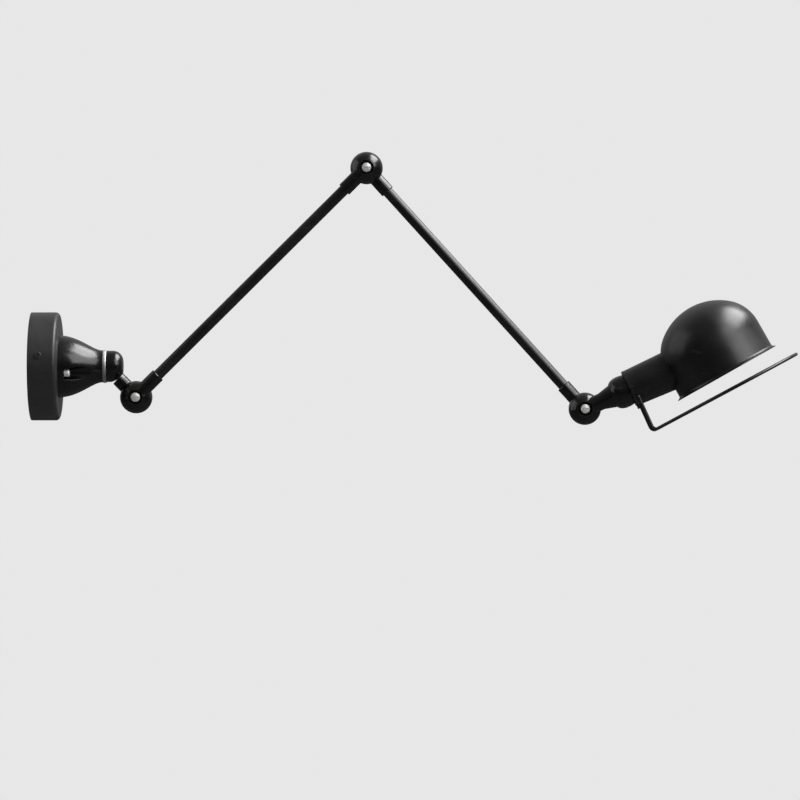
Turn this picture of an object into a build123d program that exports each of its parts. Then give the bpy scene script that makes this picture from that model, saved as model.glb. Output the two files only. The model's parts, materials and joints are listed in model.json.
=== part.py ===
from build123d import *
import os
from math import acos, atan2, cos, hypot, radians, sin, sqrt

# Articulating wall lamp: a round wall pan, a cast bell with a swivel, two tube arms, three knuckle
# balls that carry the current through contact rings, and a bowl shade with a wire handle.
# Millimetres. X leads out from the wall, Z is up, and the front of the lamp faces -Y.
# The origin is the middle of the wall plate's back face.

# Posture at rest, angles above the horizontal
arm_pitch = 300.0
lower_arm_angle = 44.85
upper_arm_angle = -47.8
head_angle = 24.2
head_roll = -2.0
stub_angle = -45.0

# General fits
seat_gap = 0.05
turning_gap = 0.1
bore_clearance = 0.08
screw_clearance = 0.1

# Hexagon nuts: radii of face and corner as shares of the width across flats
nut_face_share = 0.53
nut_corner_share = 0.6
nut_chamfer = 0.7

# Knuckle balls
ball_radius = 15.0
split_gap = 0.25
seam_chamfer = 0.35
arm_offset = 7.5
ferrule_radius = 6.5
ferrule_end = 29.0
ferrule_chamfer = 0.5
socket_start = 16.0
cable_bore_radius = 3.0
cable_bore_start = 7.0
boss_radius = 4.5
cavity_radius = 11.0
cavity_depth = 6.5
disc_ledge = 0.6
head_recess_radius = 6.8
head_recess_floor = 11.2
nut_pocket_floor = 9.2
groove_inner_radius = 12.2
groove_outer_radius = 14.0
groove_depth = 0.9

# Knuckle bolt, nut and spring washer
bolt_radius = 2.5
bolt_head_radius = 4.2
bolt_head_height = 2.7
bolt_head_dome = 7.0
bolt_slot_width = 1.1
bolt_slot_depth = 1.2
nut_across_flats = 8.0
nut_height = 3.7
spring_washer_height = 1.1
spring_washer_slot = 0.6
spring_washer_slant = 20.0

# Rotary contacts inside the balls
disc_floor = 1.3
disc_thickness = 2.0
inner_ring_radius = 6.25
outer_ring_radius = 8.85
contact_ring_width = 1.8
contact_ring_height = 0.7
brush_radius = 0.85

# Arms and internal cable
tube_radius = 5.0
tube_wall = 1.0
cable_radius = 1.6
cable_end_radius = 8.7
cable_turn = 3.0

# Wall plate, pan and wiring
plate_thickness = 2.0
plate_margin = 4.8
plate_width = 30.0
slot_spacing = 60.0
slot_width = 4.5
slot_length = 12.0
supply_hole_radius = 6.5
supply_hole_offset = 13.0
ear_width = 14.0
ear_height = 16.0
side_screw_height = 10.0
side_screw_lift = 11.3
side_screw_radius = 2.0
side_screw_head_radius = 3.1
side_screw_head_height = 1.6
side_screw_length = 8.0
side_slot_width = 0.8
side_slot_depth = 0.9
pan_radius = 50.0
pan_depth = 26.0
pan_wall = 1.2
pan_edge_radius = 3.5
pan_hole_radius = 14.0
terminal_length = 24.0
terminal_width = 11.0
terminal_height = 13.0
terminal_offset = 16.0
terminal_poles = 3
terminal_screw_radius = 1.8
terminal_screw_depth = 4.0
terminal_screw_set = 0.6
terminal_slot_width = 0.6
terminal_corner_radius = 1.5
terminal_wire_radius = 1.7
terminal_wire_height = 4.55
terminal_notch_width = 1.0
terminal_notch_depth = 6.5
earth_screw_radius = 2.0
earth_head_radius = 3.5
earth_head_height = 2.2
earth_slot_width = 0.9
earth_slot_depth = 0.7
earth_offset = 10.0
cable_tail = 8.0
cable_rise = 5.0

# Cast bell
bell_length = 40.0
bell_back_radius = 28.9
bell_front_radius = 14.8
bell_swell = 1.5
bell_waist_length = 10.0
bell_cavity_radius = 14.5
bell_boss_length = 14.5
pocket_count = 3
pocket_radius = 6.0
pocket_circle = 23.5
pocket_turn = 16.0
flange_thickness = 6.0
pocket_lip_radius = 0.5
bell_screw_radius = 2.0
bell_screw_head_radius = 3.3
bell_screw_head_height = 5.0
bell_screw_dome = 1.75
bell_screw_tip = 1.5
bell_slot_width = 0.9
bell_slot_depth = 0.55
bell_nut_across_flats = 7.0
bell_nut_height = 3.2

# Swivel
swivel_range = 165.0
ring_radius = 15.3
ring_width = 3.4
ring_edge_radius = 0.9
spindle_radius = 5.2
spindle_bore_radius = 3.2
spindle_disc_radius = 12.2
spindle_disc_thickness = 3.0
spindle_nut_across_flats = 16.0
spindle_nut_height = 5.0
spindle_washer_height = 1.4
spindle_tip = 2.0
stop_pin_radius = 1.5
stop_circle = 9.5
stop_groove_depth = 1.9
stop_pin_depth = 4.0
cap_radius = 14.5
cap_length = 15.2
cap_wall = 2.2
cap_edge_radius = 9.5
stub_radius = 6.7
stub_pitch = 40.3
stub_root = 0.8
stub_inside = 16.3
stub_play = 4.0
stub_cable_start = 2.7
stub_cable_join = 13.7

# Lamp neck
neck_start_radius = 7.8
neck_cone_start = 16.5
neck_end_radius = 10.8
neck_end = 28.0
nipple_radius = 5.0
nipple_bore_radius = 3.2
neck_cap_length = 15.8
neck_cap_swell = 14.9
neck_cap_mouth_radius = 14.3
neck_cap_wall = 2.4
neck_cap_step = 0.4
neck_cap_bend = 1.2
lock_nut_across_flats = 14.0
lock_nut_height = 4.0
nipple_tip = 1.0

# Holder sleeve, clamp and lampholder
sleeve_back_radius = 17.2
sleeve_front_radius = 18.6
sleeve_overlap = 7.0
sleeve_wall = 1.2
sleeve_edge_radius = 0.3
sleeve_back_thickness = 1.5
clamp_start = 0.5
clamp_width = 1.6
clamp_thickness = 0.8
clamp_groove_depth = 0.6
clamp_lug_height = 3.0
clamp_lug_width = 5.0
clamp_slot_width = 0.8
holder_radius = 13.5
holder_skirt_depth = 9.0
cup_clearance = 3.5
holder_web = 4.0
holder_inside = 11.8
holder_mouth_radius = 7.2
holder_wall = 1.5
holder_edge_radius = 0.7
holder_step = 2.0
centre_contact_length = 4.0
centre_contact_thickness = 0.9
side_contact_start = 3.0
contact_thickness = 0.5
contact_length = 9.0
contact_width = 3.0
shade_ring_width = 3.5
shade_ring_rim = 4.5
ring_notch_count = 6
ring_notch_radius = 1.5
ring_notch_lift = 0.6

# Shade
shade_drop = 24.1
shade_tilt = 5.3
shade_radius = 48.5
shade_height = 69.8
shade_wall = 1.0
rim_flare = 2.7
skirt_share = 0.411
shoulder_share = 0.9

# Wire handle
wire_radius = 1.5
wire_drop = 14.3
wire_tilt = 4.0
wire_loop_radius = 64.0
wire_leg_position = 48.6
wire_leg_spread = 17.0
wire_top_drop = 8.9
wire_top_turn = 2.6
wire_heel_turn = 4.5
wire_tip_spread = 12.2

# Bulb, a small golf-ball lamp
bulb_radius = 22.5
bulb_length = 80.0
bulb_cap_radius = 6.9
bulb_cap_length = 22.0
bulb_neck_radius = 6.4
bulb_neck_lean = 40.0
bulb_glass_wall = 0.8
bulb_play = 1.2
bulb_contact_radius = 2.5
bulb_contact_height = 3.0


# ---------- places ----------

def heading(angle):
    return Vector(cos(radians(angle)), 0, sin(radians(angle)))


bell_front = pan_depth + bell_length
swivel_plane = bell_front + ring_width + turning_gap
spindle_front = swivel_plane + spindle_disc_thickness
cap_front = swivel_plane + cap_length
stub_length = stub_pitch - stub_inside

stub_mouth = Vector(swivel_plane - stub_root, 0, 0) + heading(stub_angle) * stub_pitch
shoulder = stub_mouth - Vector(0, arm_offset, 0)
elbow = shoulder + heading(lower_arm_angle) * arm_pitch
wrist = elbow + heading(upper_arm_angle) * arm_pitch


def front_side(ball, angle):
    # local X along the arm, local Z out of the ball towards the viewer
    return Plane(origin=ball, x_dir=heading(angle), z_dir=(0, -1, 0)).location


def back_side(ball, angle):
    # local X along the arm, local Z out of the ball away from the viewer
    return Plane(origin=ball, x_dir=heading(angle), z_dir=(0, 1, 0)).location


head_start = wrist - Vector(0, arm_offset, 0)
head_frame = Plane(origin=head_start, x_dir=heading(head_angle), z_dir=heading(head_angle + 90))
head_place = head_frame.location * Rot(head_roll, 0, 0)

plate_length = 2 * (pan_radius - pan_wall - plate_margin)
sleeve_back = neck_end + seat_gap + neck_cap_length + turning_gap
holder_back = sleeve_back + sleeve_back_thickness + seat_gap
holder_web_back = holder_back + holder_skirt_depth
holder_socket = holder_web_back + holder_web
bulb_tip = holder_socket + bulb_play
bulb_centre = bulb_tip + bulb_length - bulb_radius
bulb_glass_start = bulb_tip + bulb_cap_length + seat_gap
holder_front = bulb_centre - sqrt(bulb_radius ** 2 - holder_radius ** 2) - cup_clearance
shade_back = holder_front - holder_inside
shade_reach = shade_back + shade_radius
sleeve_front = shade_back + sleeve_overlap
skirt_height = shade_height * skirt_share
shoulder_radius = (shade_height - skirt_height) * shoulder_share


# ---------- shared shapes ----------

def ring_z(inner, outer, low, high):
    ring = Pos(0, 0, low) * Cylinder(outer, high - low, align=(Align.CENTER, Align.CENTER, Align.MIN))
    if inner > 0:
        ring -= Pos(0, 0, low) * Cylinder(inner, high - low, align=(Align.CENTER, Align.CENTER, Align.MIN))
    return ring


def ring_x(inner, outer, low, high):
    return Rot(0, 90, 0) * ring_z(inner, outer, low, high)


def turned(*points):
    # closed profile of (x, radius) points turned about the X axis
    return revolve(make_face(Polyline(*points, close=True)), Axis.X)


def round_rim(shape, axis, radius):
    # rounds the outermost round edge along the axis
    return fillet(shape.edges().filter_by(GeomType.CIRCLE).sort_by(axis)[-1], radius)


def hex_z(across_flats, low, high):
    outline = RegularPolygon(across_flats / 2, 6, major_radius=False)
    return Pos(0, 0, low) * extrude(outline, high - low)


def hex_nut_x(across_flats, bore, low, high):
    nut = Rot(0, 90, 0) * (hex_z(across_flats, low, high) - ring_z(0, bore, low, high))
    face = across_flats * nut_face_share
    corner = across_flats * nut_corner_share
    return nut & turned((low, 0), (low, face), (low + nut_chamfer, corner), (high - nut_chamfer, corner),
                        (high, face), (high, 0))


def cross_slot(width, length, depth):
    blade = Box(length, width, depth, align=(Align.CENTER, Align.CENTER, Align.MAX))
    return blade + Rot(0, 0, 90) * blade


def cable(points, turns):
    route = FilletPolyline(*points, radius=turns)
    start = Plane(origin=route @ 0, z_dir=route % 0)
    return sweep(start * Circle(cable_radius), path=route)


def group(*solids):
    return Compound(children=list(solids))


# ---------- knuckle ball ----------

def half_ball():
    seam = split_gap + seam_chamfer
    seam_edge = sqrt(ball_radius ** 2 - seam ** 2)
    middle = ball_radius * sin(radians(45))
    dome = ThreePointArc((seam_edge, seam), (middle, middle), (0, ball_radius))
    rest = Polyline((0, ball_radius), (0, split_gap), (seam_edge - seam_chamfer, split_gap),
                    (seam_edge, seam))
    return revolve(Plane.XZ * make_face(dome + rest), Axis.Z)


def ferrule(radius, end):
    return Pos(0, 0, arm_offset) * ring_x(0, radius, 0, end)


def other_half_way():
    # the room that the other half of the ball turns in
    return ring_z(0, ball_radius + turning_gap, -ball_radius, split_gap)


def hollow(half):
    disc_seat = disc_floor + disc_thickness
    half -= ring_z(boss_radius, cavity_radius, 0, disc_seat)
    half -= ring_z(boss_radius, cavity_radius - disc_ledge, 0, cavity_depth)
    return half - ring_z(0, bolt_radius + bore_clearance, 0, ball_radius)


def cable_way(end, socket_radius):
    way = ring_x(0, cable_bore_radius, cable_bore_start, end + 1)
    if socket_radius:
        way += ring_x(0, socket_radius + seat_gap, socket_start - seat_gap, end + 1)
    return Pos(0, 0, arm_offset) * way


def front_half(body, end, socket_radius):
    # half on the viewer's side: round recess for the bolt head, groove for the friction ring
    half = hollow(half_ball() + (body - other_half_way()))
    half -= ring_z(0, head_recess_radius, head_recess_floor, ball_radius + 1)
    half -= ring_z(groove_inner_radius, groove_outer_radius, 0, split_gap + groove_depth)
    return half - cable_way(end, socket_radius)


def back_half(body, end, socket_radius):
    # half on the far side: six-sided pocket that holds the nut
    half = hollow(half_ball() + body)
    half -= hex_z(nut_across_flats + 2 * bore_clearance, nut_pocket_floor, ball_radius + 1)
    return half - cable_way(end, socket_radius)


def friction_ring():
    top = split_gap + groove_depth - seat_gap
    return ring_z(groove_inner_radius + seat_gap, groove_outer_radius - seat_gap, seat_gap - split_gap, top)


def insulating_disc():
    outer = cavity_radius - seat_gap
    return ring_z(boss_radius + seat_gap, outer, disc_floor, disc_floor + disc_thickness - seat_gap)


def contact_rings():
    low = disc_floor - contact_ring_height
    half_width = contact_ring_width / 2
    rings = []
    for middle in (inner_ring_radius, outer_ring_radius):
        rings.append(ring_z(middle - half_width, middle + half_width, low, disc_floor))
    return rings


def brush_places():
    return (Pos(0, inner_ring_radius, 0), Pos(0, -outer_ring_radius, 0))


def brush_disc():
    disc = insulating_disc()
    for place in brush_places():
        disc -= place * ring_z(0, brush_radius + seat_gap, 0, ball_radius)
    return disc


def brush_pins():
    # each pin crosses the split and stops just short of the contact ring
    reach = disc_floor - contact_ring_height - turning_gap
    pin = ring_z(0, brush_radius, -reach, disc_floor + disc_thickness)
    return [place * pin for place in brush_places()]


def knuckle_bolt():
    # seen from the viewer's side of the ball
    seat = head_recess_floor + turning_gap
    top = seat + bolt_head_height
    tail = nut_pocket_floor + spring_washer_height + nut_height + seat_gap
    head = ring_z(0, bolt_head_radius, seat, top) & Pos(0, 0, top - bolt_head_dome) * Sphere(bolt_head_dome)
    head -= Pos(0, 0, top) * Box(3 * bolt_head_radius, bolt_slot_width, 2 * bolt_slot_depth)
    return head + ring_z(0, bolt_radius, -tail, seat)


def knuckle_washer():
    inner = bolt_radius + seat_gap
    outer = nut_across_flats / 2
    washer = ring_z(inner, outer, nut_pocket_floor + seat_gap, nut_pocket_floor + spring_washer_height)
    cut = Rot(spring_washer_slant, 0, 0) * Box(outer, spring_washer_slot, 8 * spring_washer_height)
    return washer - Pos(outer / 2, 0, nut_pocket_floor) * cut


def knuckle_nut():
    low = nut_pocket_floor + spring_washer_height + seat_gap
    nut = hex_z(nut_across_flats, low, low + nut_height)
    return nut - ring_z(0, bolt_radius + seat_gap, low, low + nut_height)


# ---------- arms ----------

def arm_ferrule():
    edge = ferrule_end - ferrule_chamfer
    return Pos(0, 0, arm_offset) * turned((0, 0), (0, ferrule_radius), (edge, ferrule_radius),
                                          (ferrule_end, ferrule_radius - ferrule_chamfer), (ferrule_end, 0))


def arm_front_half():
    return front_half(arm_ferrule(), ferrule_end, tube_radius)


def arm_back_half():
    return back_half(arm_ferrule(), ferrule_end, tube_radius)


def arm_tube():
    tube = ring_x(tube_radius - tube_wall, tube_radius, socket_start, arm_pitch - socket_start)
    return Pos(0, 0, arm_offset) * tube


def arm_cable():
    back_of_disc = disc_floor + disc_thickness
    far = arm_pitch - cable_end_radius
    points = [(cable_end_radius, 0, back_of_disc), (cable_end_radius, 0, arm_offset),
              (far, 0, arm_offset), (far, 0, back_of_disc)]
    return cable(points, [cable_turn, cable_turn])


# ---------- wall plate, pan and wiring ----------

def side_screw_place(turn):
    # on the pan's wall: local Z points out through the screw
    return Rot(turn - side_screw_lift, 0, 0) * Pos(side_screw_height, -pan_radius, 0) * Rot(90, 0, 0)


def side_screw_hole():
    return ring_z(0, side_screw_radius + screw_clearance, -2 * side_screw_length, 1)


def wall_bracket():
    plate = Box(plate_thickness, plate_length, plate_width, align=(Align.MIN, Align.CENTER, Align.CENTER))
    ear_depth = pan_wall + seat_gap + ear_sagitta()
    for turn in (0, 180):
        ear = Box(ear_height, ear_width, plate_thickness, align=(Align.MIN, Align.CENTER, Align.MAX))
        foot = Box(plate_thickness, ear_width, foot_length(), align=(Align.MIN, Align.CENTER, Align.MAX))
        plate += side_screw_place(turn) * Pos(-side_screw_height, 0, -ear_depth) * (ear + foot)
        plate -= side_screw_place(turn) * side_screw_hole()
    for side in (-1, 1):
        slot = extrude(SlotOverall(slot_length, slot_width), plate_thickness * 3, both=True)
        plate -= Pos(0, side * slot_spacing / 2, 0) * Rot(0, 90, 0) * Rot(0, 0, 90) * slot
    plate -= Pos(0, -supply_hole_offset, 0) * ring_x(0, supply_hole_radius, -1, plate_thickness + 1)
    return plate - earth_place() * ring_z(0, earth_screw_radius + seat_gap, -plate_thickness - 1, 1)


def ear_sagitta():
    # how far the ear's flat face stands in from the round wall at its edges
    inner = pan_radius - pan_wall
    return inner - sqrt(inner ** 2 - (ear_width / 2) ** 2)


def foot_length():
    # the foot joins the ear to the plate
    return pan_radius - plate_length / 2 + ear_width / 2


def earth_place():
    across = terminal_offset - terminal_width / 2 - earth_offset
    return Pos(plate_thickness, across, earth_offset) * Rot(0, 90, 0)


def pan():
    shell = round_rim(ring_x(0, pan_radius, 0, pan_depth), Axis.X, pan_edge_radius)
    inside = ring_x(0, pan_radius - pan_wall, -1, pan_depth - pan_wall)
    shell -= round_rim(inside, Axis.X, pan_edge_radius - pan_wall)
    shell -= ring_x(0, pan_hole_radius, 0, pan_depth + 1)
    for turn in (0, 180):
        shell -= side_screw_place(turn) * side_screw_hole()
    for place in pocket_places():
        shell -= place * ring_x(0, bell_screw_radius + screw_clearance, 0, pan_depth + 1)
    return shell


def side_screws():
    screws = []
    for turn in (0, 180):
        head = ring_z(0, side_screw_head_radius, seat_gap, side_screw_head_height)
        head = round_rim(head, Axis.Z, side_screw_head_height * 0.4)
        head += ring_z(0, side_screw_radius, seat_gap - side_screw_length, seat_gap)
        slot = cross_slot(side_slot_width, side_screw_head_radius * 1.2, side_slot_depth)
        head -= Pos(0, 0, side_screw_head_height) * slot
        screws.append(side_screw_place(turn) * head)
    return group(*screws)


def terminal_heights():
    pitch = terminal_length / terminal_poles
    return [(pole - (terminal_poles - 1) / 2) * pitch for pole in range(terminal_poles)]


def terminal_block():
    block = Box(terminal_height, terminal_width, terminal_length,
                align=(Align.MIN, Align.CENTER, Align.CENTER))
    block = fillet(block.edges().filter_by(Axis.Z).group_by(Axis.X)[-1], terminal_corner_radius)
    screw_hole = ring_x(0, terminal_screw_radius + seat_gap, -terminal_screw_depth - 1, 1)
    wire_hole = Rot(90, 0, 0) * ring_z(0, terminal_wire_radius, -terminal_width, terminal_width)
    for height in terminal_heights():
        block -= Pos(terminal_height, 0, height) * screw_hole
        block -= Pos(terminal_wire_height, 0, height) * wire_hole
    half_pitch = terminal_length / terminal_poles / 2
    for height in terminal_heights()[1:]:
        notch = Box(2 * terminal_notch_depth, terminal_width * 2, terminal_notch_width)
        block -= Pos(terminal_height, 0, height - half_pitch) * notch
    return terminal_place() * block


def terminal_place():
    return Pos(plate_thickness + seat_gap, terminal_offset, 0)


def terminal_screws():
    screw = ring_x(0, terminal_screw_radius, -terminal_screw_depth, -terminal_screw_set)
    screw -= Box(3 * terminal_screw_set, terminal_slot_width, 3 * terminal_screw_radius)
    places = [terminal_place() * Pos(terminal_height, 0, height) for height in terminal_heights()]
    return group(*[place * screw for place in places])


def earth_screw():
    screw = ring_z(0, earth_head_radius, seat_gap, earth_head_height)
    screw += ring_z(0, earth_screw_radius, -plate_thickness, seat_gap)
    slot = Box(3 * earth_head_radius, earth_slot_width, 2 * earth_slot_depth)
    return earth_place() * (screw - Pos(0, 0, earth_head_height) * slot)


def base_cable():
    # from the terminal block round to the swivel's axis
    start = plate_thickness + terminal_height + 2 * seat_gap
    points = [(start, terminal_offset, 0), (pan_depth - cable_rise, terminal_offset, 0),
              (pan_depth + 1, 0, 0), (spindle_back() - cable_tail, 0, 0)]
    return cable(points, [cable_turn, cable_turn])


# ---------- bell and swivel ----------

def pocket_places():
    # local X stays along the lamp's axis; the first pocket faces the viewer
    return [Rot(pocket_turn + 360 / pocket_count * step, 0, 0) * Pos(0, -pocket_circle, 0)
            for step in range(pocket_count)]


def bell():
    back = (pan_depth + seat_gap, bell_back_radius)
    front = (bell_front, bell_front_radius)
    swell = (pan_depth + bell_length / 2, bell_back_radius - bell_swell)
    waist = (bell_front - bell_waist_length, bell_front_radius)
    outline = Bezier(back, swell, waist, front)
    rest = Polyline(front, (bell_front, 0), (back[0], 0), back)
    casting = revolve(make_face(outline + rest), Axis.X)
    casting -= ring_x(0, bell_cavity_radius, pan_depth, bell_front - bell_boss_length)
    casting -= ring_x(0, spindle_radius + bore_clearance, pan_depth, bell_front + 1)
    for place in pocket_places():
        casting -= place * ring_x(0, pocket_radius, pan_depth + flange_thickness, bell_front)
        casting -= place * ring_x(0, bell_screw_radius + screw_clearance, pan_depth - 1, bell_front)
    lips = [edge for edge in casting.edges() if is_pocket_lip(edge)]
    casting = fillet(lips, pocket_lip_radius)
    stop_hole = ring_x(0, stop_pin_radius + seat_gap, bell_front - stop_pin_depth, bell_front + 1)
    return casting - stop_place() * stop_hole


def is_pocket_lip(edge):
    # the curve where a pocket breaks out of the bell's side
    middle = edge @ 0.5
    above_floor = edge.bounding_box().max.X > pan_depth + flange_thickness + 1
    outside = hypot(middle.Y, middle.Z) > bell_cavity_radius
    return edge.geom_type == GeomType.BSPLINE and above_floor and outside


def bell_screws():
    seat = pan_depth + flange_thickness + seat_gap
    top = seat + bell_screw_head_height
    tail = pan_depth - pan_wall - bell_nut_height - bell_screw_tip
    head = round_rim(ring_x(0, bell_screw_head_radius, seat, top), Axis.X, bell_screw_dome)
    head += ring_x(0, bell_screw_radius, tail, seat)
    slot = cross_slot(bell_slot_width, bell_screw_head_radius * 1.2, 2 * bell_slot_depth)
    head -= Pos(top, 0, 0) * Rot(0, 90, 0) * slot
    return group(*[place * head for place in pocket_places()])


def bell_nuts():
    high = pan_depth - pan_wall - seat_gap
    nut = hex_nut_x(bell_nut_across_flats, bell_screw_radius + seat_gap, high - bell_nut_height, high)
    return group(*[place * nut for place in pocket_places()])


def stop_place():
    return Pos(0, 0, stop_circle)


def stop_pin():
    return stop_place() * ring_x(0, stop_pin_radius, bell_front - stop_pin_depth + seat_gap,
                                 swivel_plane + stop_groove_depth - turning_gap)


def swivel_ring():
    inner = spindle_radius + bore_clearance
    ring = ring_x(inner, ring_radius, bell_front + seat_gap, bell_front + ring_width)
    ring = fillet(ring.edges().filter_by(GeomType.CIRCLE).group_by(SortBy.RADIUS)[-1], ring_edge_radius)
    return ring - stop_place() * ring_x(0, stop_pin_radius + seat_gap, bell_front, swivel_plane)


def spindle_back():
    return bell_front - bell_boss_length - spindle_washer_height - spindle_nut_height - spindle_tip


def spindle():
    stud = ring_x(0, spindle_radius, spindle_back(), spindle_front)
    stud += ring_x(0, spindle_disc_radius, swivel_plane, spindle_front)
    stud -= ring_x(0, spindle_bore_radius, spindle_back() - 1, spindle_front + 1)
    groove_half = stop_pin_radius + 2 * turning_gap
    groove = ring_x(stop_circle - groove_half, stop_circle + groove_half, swivel_plane - 1,
                    swivel_plane + stop_groove_depth)
    pin_swing = 2 * stop_circle * sin(radians(180 - swivel_range))
    web = pin_swing - 2 * stop_pin_radius - 2 * turning_gap
    stop = Pos(swivel_plane, 0, -stop_circle) * Box(4 * stop_groove_depth, web, 3 * groove_half)
    return stud - (groove - stop)


def spindle_washer():
    high = bell_front - bell_boss_length - turning_gap
    outer = spindle_nut_across_flats / 2
    return ring_x(spindle_radius + seat_gap, outer, high - spindle_washer_height, high)


def spindle_nut():
    high = bell_front - bell_boss_length - turning_gap - spindle_washer_height - seat_gap
    bore = spindle_radius + seat_gap
    return hex_nut_x(spindle_nut_across_flats, bore, high - spindle_nut_height, high)


def swivel_cap():
    shell = round_rim(ring_x(0, cap_radius, swivel_plane, cap_front), Axis.X, cap_edge_radius)
    inside = ring_x(0, cap_radius - cap_wall, swivel_plane - 1, cap_front - cap_wall)
    shell -= round_rim(inside, Axis.X, cap_edge_radius - cap_wall)
    stub_hole = ferrule(stub_radius + seat_gap, stub_length + stub_play)
    return shell - back_side(shoulder, stub_angle + 180) * stub_hole


def shoulder_back_half():
    return back_half(ferrule(stub_radius, stub_length), stub_length, 0)


def swivel_cable():
    # from the swivel's axis through the spindle, down the stub and into the ball
    start = spindle_back() - cable_tail + turning_gap
    turn_out = spindle_front + stub_cable_start
    slope = heading(stub_angle)
    join = stub_mouth - slope * (stub_pitch - stub_cable_join)
    inner = stub_mouth - slope * cable_end_radius
    end = inner - Vector(0, arm_offset - disc_floor - disc_thickness, 0)
    points = [(start, 0, 0), (turn_out, 0, 0), join, inner, end]
    return cable(points, [2 * cable_turn, 4 * cable_turn, cable_turn])


# ---------- lamp neck ----------

def neck_cone():
    cone = turned((0, 0), (0, neck_start_radius), (neck_cone_start, neck_start_radius),
                  (neck_end, neck_end_radius), (neck_end, 0))
    return Pos(0, 0, arm_offset) * cone


def neck_half():
    return front_half(neck_cone(), neck_end, nipple_radius)


def nipple():
    end = sleeve_back + sleeve_back_thickness + lock_nut_height + 2 * turning_gap + nipple_tip
    return ring_x(nipple_bore_radius, nipple_radius, socket_start, end)


def neck_cap():
    back = neck_end + seat_gap
    front = back + neck_cap_length
    start = (back, neck_end_radius + neck_cap_step)
    mouth = (front, neck_cap_mouth_radius)
    outer = Spline(start, (back + neck_cap_length / 5, neck_cap_swell - neck_cap_bend),
                   (back + neck_cap_length / 2, neck_cap_swell), mouth)
    rest = Polyline(mouth, (front, 0), (back, 0), start)
    cap = revolve(make_face(outer + rest), Axis.X)
    cap -= ring_x(0, nipple_radius + seat_gap, back - 1, front)
    return cap - ring_x(0, neck_end_radius, back + neck_cap_wall, front + 1)


def lock_nut():
    low = sleeve_back + sleeve_back_thickness + turning_gap
    return hex_nut_x(lock_nut_across_flats, nipple_radius + seat_gap, low, low + lock_nut_height)


def neck_cable():
    back_of_disc = disc_floor + disc_thickness
    points = [(cable_end_radius, 0, back_of_disc), (cable_end_radius, 0, arm_offset),
              (holder_web_back - turning_gap, 0, arm_offset)]
    return cable(points, [cable_turn])


# ---------- lamp head, along its own axis ----------

def sleeve():
    front = sleeve_front
    floor = sleeve_back + sleeve_back_thickness
    outer = turned((sleeve_back, 0), (sleeve_back, sleeve_back_radius), (front, sleeve_front_radius),
                   (front, 0))
    outer = fillet(outer.edges().filter_by(GeomType.CIRCLE).sort_by(Axis.X)[0], sleeve_edge_radius)
    inner = turned((floor, 0), (floor, sleeve_back_radius - sleeve_wall),
                   (front + 1, sleeve_front_radius - sleeve_wall), (front + 1, 0))
    tube = outer - inner - ring_x(0, nipple_radius + bore_clearance, sleeve_back - 1, holder_back)
    tube -= shade_place() * shade_body(seat_gap)
    tube -= clamp_seat(sleeve_back_radius - clamp_groove_depth, seat_gap)
    wire_hole = ring_z(0, wire_radius + seat_gap, 0, wire_leg_spread)
    for side in (-1, 1):
        tube -= Pos(wire_leg_position, 0, -wire_top_drop) * Rot(90 * side, 0, 0) * wire_hole
    return tube


def clamp_seat(radius, clearance):
    # the groove round the sleeve, or with no clearance the band's own width
    low = sleeve_back + clamp_start - clearance
    return ring_x(radius, 2 * sleeve_front_radius, low, low + clamp_width + 2 * clearance)


def clamp_ring():
    inner = sleeve_back_radius - clamp_groove_depth + seat_gap
    outer = inner + clamp_thickness
    low = sleeve_back + clamp_start
    lug = Pos(low, 0, -inner) * Box(clamp_width, clamp_lug_width, clamp_thickness + clamp_lug_height,
                                    align=(Align.MIN, Align.CENTER, Align.MAX))
    band = (ring_x(0, outer, low, low + clamp_width) + lug) & clamp_seat(inner, 0)
    return band - Pos(low, 0, -outer) * Box(3 * clamp_width, clamp_slot_width, 4 * clamp_lug_height)


def lampholder():
    # skirt on the sleeve's back, a web with the cable hole, the socket, and an open cup in front
    bore = holder_radius - holder_wall
    body = round_rim(ring_x(0, holder_radius, holder_back, holder_front), Axis.X, holder_edge_radius)
    body -= ring_x(0, bore, holder_back - 1, holder_web_back)
    body -= ring_x(0, cable_bore_radius, holder_web_back - 1, holder_web_back + holder_web / 2)
    body -= ring_x(0, holder_mouth_radius, holder_socket, holder_front + 1)
    body -= ring_x(0, bore, bulb_glass_start - holder_step, holder_front + 1)
    return body - side_contact(2 * seat_gap)


def side_contact(growth):
    length = contact_length + growth
    size = (length, contact_width + growth, contact_thickness + growth)
    place = Pos(holder_socket + side_contact_start - growth / 2, 0, bulb_cap_radius + seat_gap)
    return place * Box(*size, align=(Align.MIN, Align.CENTER, Align.MIN))


def lampholder_contacts():
    # centre tongue at the bottom of the socket and a side tongue let into its wall
    centre = Box(centre_contact_thickness, centre_contact_length, contact_width,
                 align=(Align.MIN, Align.CENTER, Align.CENTER))
    return group(Pos(holder_socket + seat_gap, 0, 0) * centre, side_contact(0))


def shade_place():
    return Pos(shade_reach, 0, -shade_drop) * Rot(0, -shade_tilt, 0)


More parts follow.
